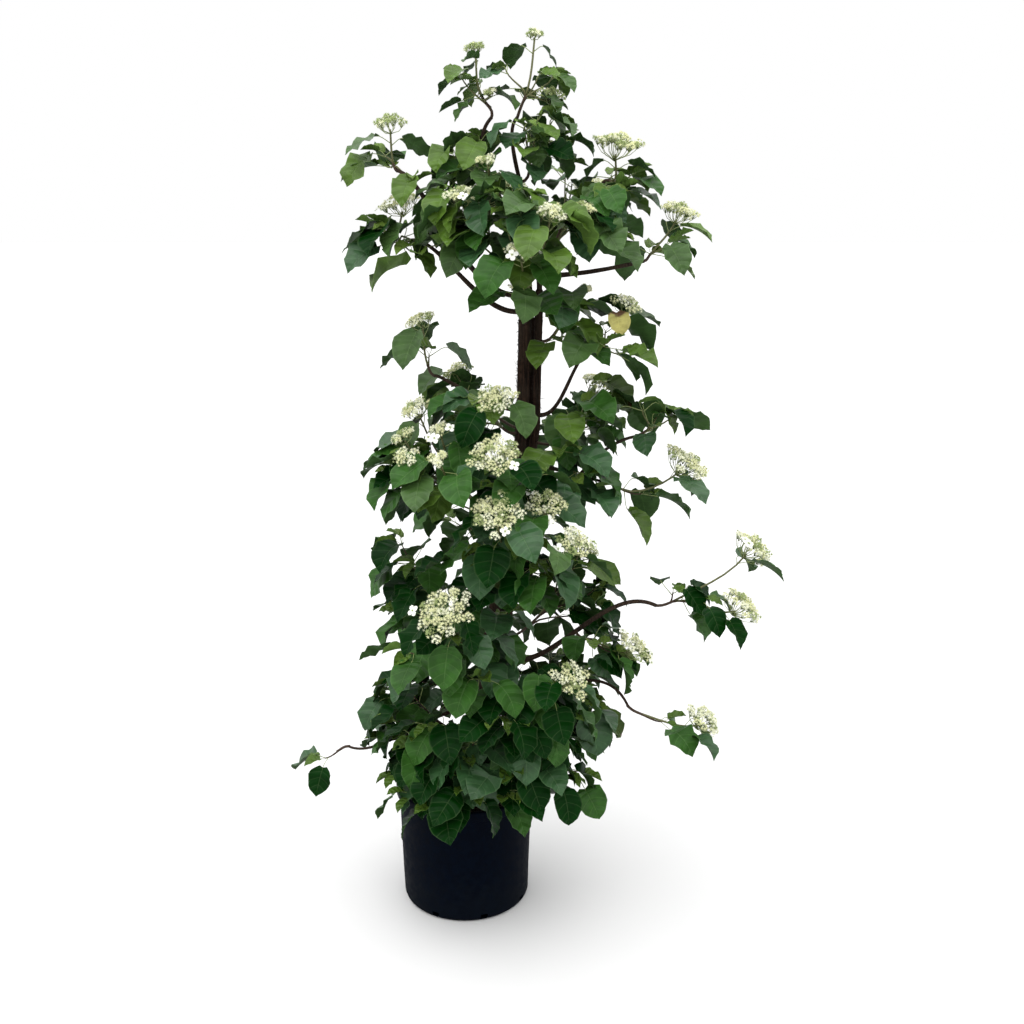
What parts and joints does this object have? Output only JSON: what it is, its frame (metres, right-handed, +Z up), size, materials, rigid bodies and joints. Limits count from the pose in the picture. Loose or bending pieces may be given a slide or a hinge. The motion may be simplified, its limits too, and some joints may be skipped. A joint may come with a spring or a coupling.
{
  "type": "potted climbing hydrangea",
  "caption": "Tall climbing hydrangea on twining stems, with layered side boughs, toothed leaves and flat cream flower heads, in a round black nursery pot.",
  "frame": {"origin": "middle of the pot's flat underside, on the ground", "axes": "+Z up, -Y towards the plant's front, +X towards the side of its longest bough"},
  "size_m": [1.1608, 0.7419, 1.9577],
  "materials": {
    "pot_plastic": "satin moulded plastic, dusty",
    "potting_mix": "rough, damp bark compost",
    "bark": "fibrous, peeling",
    "foliage": "satin leaves and cream flower heads"
  },
  "bodies": {
    "root": {"pot": "pot_plastic", "potting_mix": "potting_mix", "stem_main": "bark", "stem_right": "bark", "stem_back": "bark", "leader_left": "bark", "leader_right": "bark", "bough_left_high": "bark", "bough_left_low": "bark", "bough_right_high": "bark", "bough_right_low": "bark", "bough_left_mid": "bark", "bough_right_upper": "bark", "bough_right_mid": "bark", "bough_right_mid_low": "bark", "bough_right_long": "bark", "bough_right_bottom": "bark", "bough_left_bottom": "bark", "foliage_top_left": "foliage", "foliage_top_right": "foliage", "foliage_crown_top": "foliage", "foliage_crown_left": "foliage", "foliage_crown_front_left": "foliage", "foliage_crown_front": "foliage", "foliage_crown_front_right": "foliage", "foliage_crown_back": "foliage", "foliage_crown_back_right": "foliage", "foliage_left_high": "foliage", "foliage_left_low": "foliage", "foliage_right_high": "foliage", "foliage_right_low": "foliage", "foliage_collar_right": "foliage", "foliage_left_mid": "foliage", "foliage_mid_upper": "foliage", "foliage_left_cluster": "foliage", "foliage_mid_front": "foliage", "foliage_mid_low": "foliage", "foliage_right_upper": "foliage", "foliage_right_inner": "foliage", "foliage_right_mid": "foliage", "foliage_right_mid_low": "foliage", "foliage_back_mid_left": "foliage", "foliage_back_mid_right": "foliage", "foliage_back_mid_low": "foliage", "foliage_left_wide": "foliage", "foliage_low_left": "foliage", "foliage_right_long": "foliage", "foliage_right_long_inner": "foliage", "foliage_low_right": "foliage", "foliage_right_bottom": "foliage", "foliage_left_bottom": "foliage", "foliage_back_low": "foliage", "foliage_back_low_right": "foliage", "foliage_skirt_left": "foliage", "foliage_skirt_front_left": "foliage", "foliage_skirt_front_right": "foliage", "foliage_skirt_right": "foliage", "foliage_skirt_back_right": "foliage", "foliage_skirt_back_left": "foliage"}
  },
  "joints": []
}
